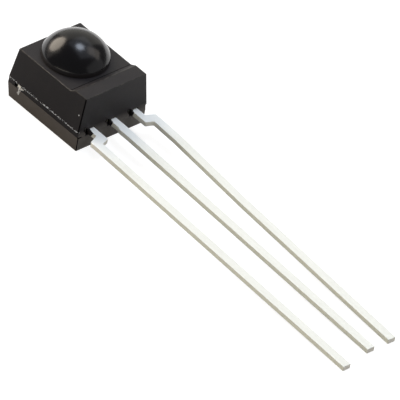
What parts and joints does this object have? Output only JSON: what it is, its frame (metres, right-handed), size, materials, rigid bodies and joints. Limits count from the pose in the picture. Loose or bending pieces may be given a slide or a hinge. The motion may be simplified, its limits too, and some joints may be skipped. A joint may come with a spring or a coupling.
{
  "type": "infrared receiver module",
  "caption": "Black moulded infrared receiver package with a round lens dome on its flat front and long flat stamped leads leaving one end in a row.",
  "frame": {"origin": "under the middle of the whole length, leads included, on the plane of the package's back, which is the table", "axes": "+Z the way the lens looks, from the back to the front; +Y from the lead tips to the package's far end; X across the row of leads, output lead at -X"},
  "size_m": [0.006, 0.033, 0.0055],
  "materials": {
    "black_epoxy": "black infrared-passing moulded epoxy, finely textured on the box and polished on the lens dome",
    "tin_plated_copper": "matt tin plating on stamped copper alloy",
    "silicon": "polished silicon",
    "silver_epoxy": "silver-filled epoxy adhesive",
    "gold": "bright drawn wire"
  },
  "bodies": {
    "root": {"package_body": "black_epoxy", "output_lead": "tin_plated_copper", "ground_lead": "tin_plated_copper", "supply_lead": "tin_plated_copper", "photodiode_die": "silicon", "receiver_ic_die": "silicon", "photodiode_adhesive": "silver_epoxy", "receiver_ic_adhesive": "silver_epoxy", "photodiode_bond_wire": "gold", "output_bond_wire": "gold", "supply_bond_wire": "gold", "ground_bond_wire": "gold"}
  },
  "joints": []
}
